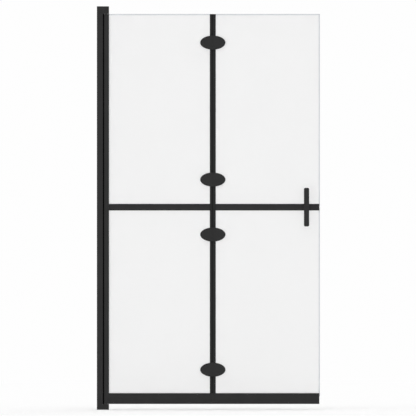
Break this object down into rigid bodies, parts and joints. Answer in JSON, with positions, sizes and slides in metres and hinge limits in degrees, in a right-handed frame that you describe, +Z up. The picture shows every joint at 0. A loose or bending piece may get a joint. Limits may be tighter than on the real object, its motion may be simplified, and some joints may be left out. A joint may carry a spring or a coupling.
{
  "type": "folding shower screen",
  "caption": "Folding walk-in shower screen: frosted glass leaves in black rails, pivoting on a wall post, joined by oval hinges, with a pull handle.",
  "frame": {"origin": "on the wall plane, at tray level, in the middle of the glass thickness", "axes": "+X from the wall to the free edge, +Y into the shower (away from the handle), +Z up"},
  "size_m": [1.05, 0.0565, 1.9],
  "materials": {
    "black_profile": "satin black powder coat on extruded aluminium",
    "black_hinge": "satin black coat on die-cast metal",
    "frosted_glass": "frosted toughened glass with polished edges",
    "black_rubber": "matt extruded rubber",
    "black_plastic": "satin moulded plastic",
    "grey_nylon": "moulded nylon",
    "steel": "ground stainless steel",
    "black_screws": "black oxide"
  },
  "bodies": {
    "wall_post": {"wall_channel": "black_profile", "post_profile": "black_profile", "top_end_cap": "black_plastic", "bottom_end_cap": "black_plastic", "top_pivot_pin": "steel", "bottom_pivot_pin": "steel", "post_screws": "black_screws"},
    "inner_panel": {"swing_profile": "black_profile", "pivot_seal": "black_rubber", "top_pivot_bush": "grey_nylon", "bottom_pivot_bush": "grey_nylon", "swing_gaskets": "black_rubber", "inner_upper_glass": "frosted_glass", "inner_lower_glass": "frosted_glass", "inner_middle_rail": "black_profile", "inner_bottom_rail": "black_profile", "inner_rail_gaskets": "black_rubber", "inner_rail_end_cap": "black_plastic", "inner_fold_seal": "black_rubber", "inner_hinge_pads": "grey_nylon", "inner_hinge_screws": "black_screws", "hinge_washers": "grey_nylon", "hinge_1_inner_plate": "black_hinge", "hinge_1_inner_leaf": "black_hinge", "hinge_1_pin": "steel", "hinge_2_inner_plate": "black_hinge", "hinge_2_inner_leaf": "black_hinge", "hinge_2_pin": "steel", "hinge_3_inner_plate": "black_hinge", "hinge_3_inner_leaf": "black_hinge", "hinge_3_pin": "steel", "hinge_4_inner_plate": "black_hinge", "hinge_4_inner_leaf": "black_hinge", "hinge_4_pin": "steel"},
    "outer_panel": {"outer_upper_glass": "frosted_glass", "outer_lower_glass": "frosted_glass", "outer_middle_rail": "black_profile", "outer_bottom_rail": "black_profile", "outer_rail_gaskets": "black_rubber", "outer_rail_end_caps": "black_plastic", "outer_fold_seal": "black_rubber", "outer_hinge_pads": "grey_nylon", "outer_hinge_screws": "black_screws", "handle_bar": "black_profile", "handle_standoffs": "black_profile", "handle_washers": "grey_nylon", "handle_bolts": "black_screws", "hinge_1_outer_plate": "black_hinge", "hinge_1_outer_leaf": "black_hinge", "hinge_2_outer_plate": "black_hinge", "hinge_2_outer_leaf": "black_hinge", "hinge_3_outer_plate": "black_hinge", "hinge_3_outer_leaf": "black_hinge", "hinge_4_outer_plate": "black_hinge", "hinge_4_outer_leaf": "black_hinge"}
  },
  "joints": [
    {"name": "wall_pivot", "type": "hinge", "parent": "wall_post", "child": "inner_panel", "pos_m": [0.04075, 0, 0], "axis": [0, 0, 1], "range_deg": [-90, 60]},
    {"name": "fold_hinge", "type": "hinge", "parent": "inner_panel", "child": "outer_panel", "pos_m": [0.546, 0.012, 0], "axis": [0, 0, 1], "range_deg": [0, 180]}
  ]
}
